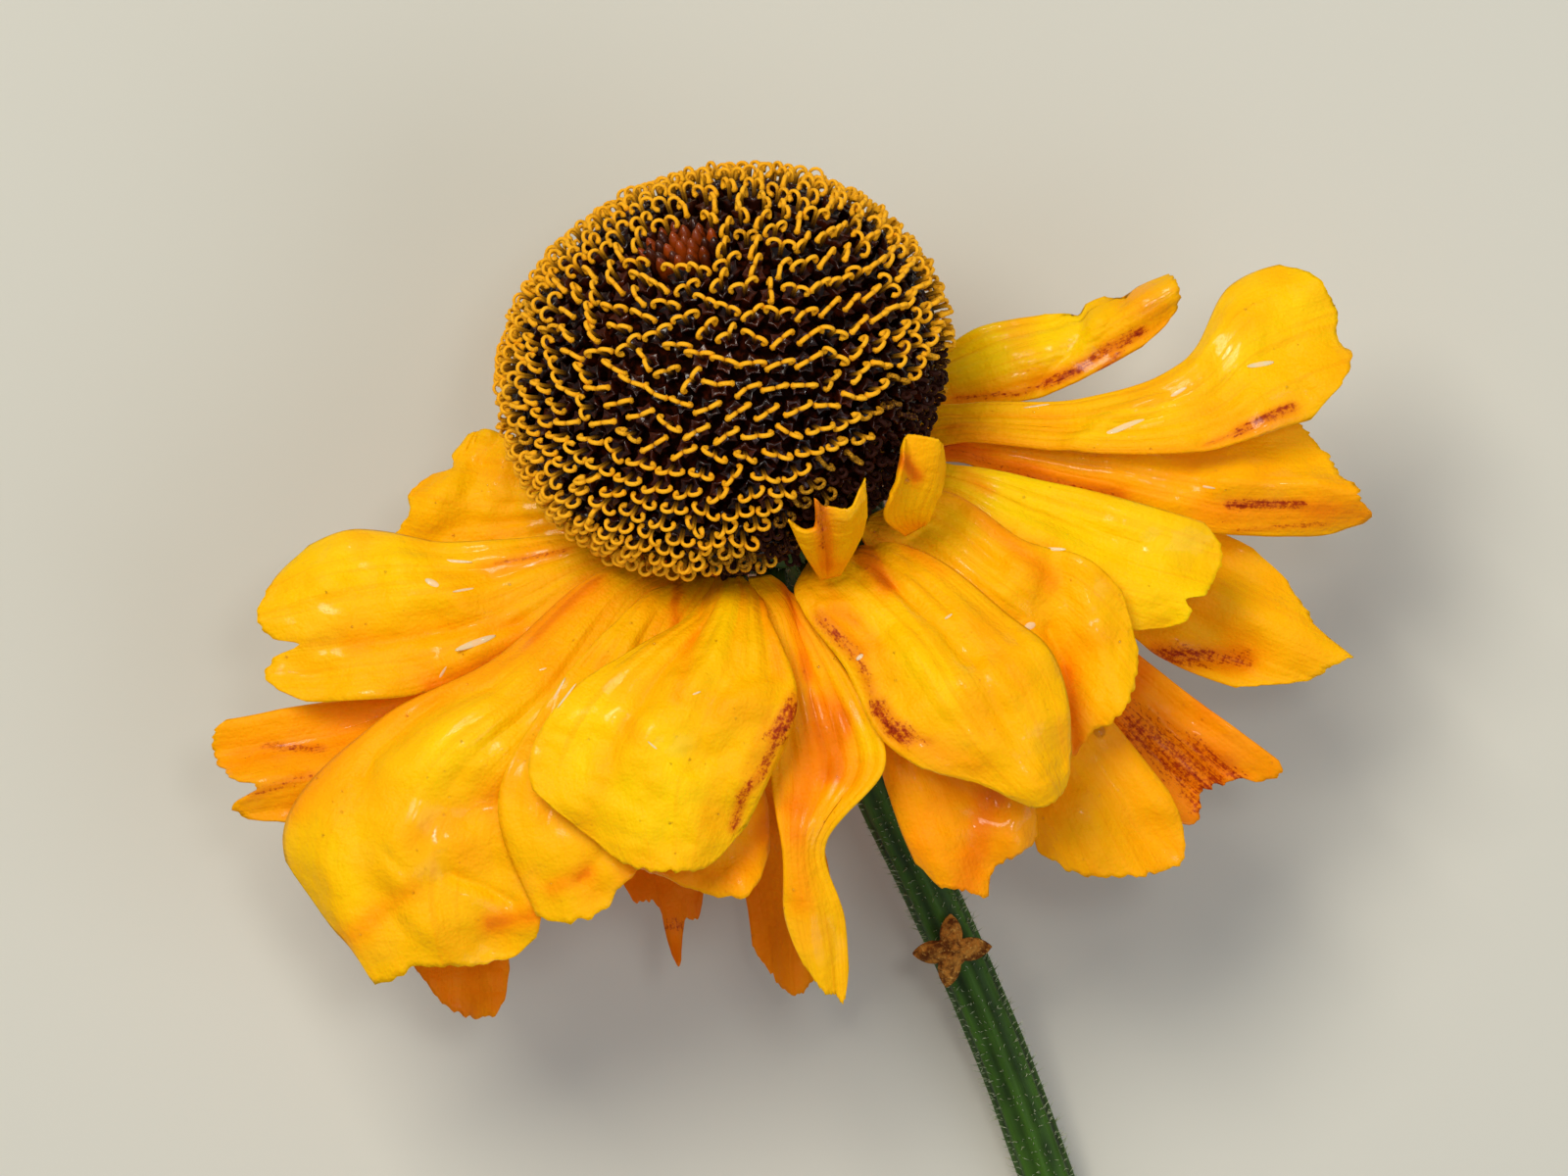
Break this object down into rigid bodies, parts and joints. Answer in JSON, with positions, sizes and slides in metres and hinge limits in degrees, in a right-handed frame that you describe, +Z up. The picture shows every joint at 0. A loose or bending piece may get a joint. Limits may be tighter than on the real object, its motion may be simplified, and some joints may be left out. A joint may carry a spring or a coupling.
{
  "type": "sneezeweed flower head",
  "caption": "Sneezeweed flower head lying on its side: domed disc of curled styles, a drooping ring of lobed, pleated golden rays and a short ribbed stem.",
  "frame": {"origin": "on the surface that the flower lies on, under the middle of its outline", "axes": "+Z up from the surface; the stem's cut end points to -Y and the disc leans up and over to +Y; +X to the right as seen from above"},
  "size_m": [0.0489, 0.0652, 0.0292],
  "materials": {
    "ray_gold": "living ray floret, deep golden yellow with fine lengthwise veins, damp and glossy, streaked red-brown in places",
    "ray_amber": "underside of a ray floret in shade, orange-amber, light glows through it",
    "style_gold": "curled forked styles dusted with pollen, golden and matt",
    "floret_dark": "disc florets between the styles, near-black brown and glossy",
    "stem_green": "ribbed green stem and bracts with fine pale hairs",
    "dry_brown": "withered brown plant tissue, matt and crinkled",
    "hair_pale": "fine translucent plant hairs",
    "dew": "small drops of water"
  },
  "bodies": {
    "root": {"ray_left_rear": "ray_gold", "ray_left": "ray_gold", "ray_left_low": "ray_gold", "ray_front_left": "ray_gold", "ray_front_mid": "ray_gold", "ray_front": "ray_gold", "ray_front_twisted": "ray_gold", "ray_right_front": "ray_gold", "ray_right_folded": "ray_gold", "ray_right_low": "ray_gold", "ray_right_bright": "ray_gold", "ray_right_stained": "ray_gold", "ray_right_under": "ray_gold", "ray_right_high": "ray_gold", "ray_right": "ray_gold", "ray_rear_right": "ray_gold", "ray_foot_right": "ray_gold", "ray_foot_mid": "ray_gold", "ray_foot_left": "ray_gold", "ray_stunted_low": "ray_gold", "ray_stunted_curled": "ray_gold", "ray_under_stem": "ray_amber", "ray_under_twisted": "ray_amber", "ray_under_tips": "ray_amber", "ray_under_left": "ray_amber", "disc": "style_gold", "stem": "stem_green", "dry_scrap": "dry_brown"}
  },
  "joints": []
}
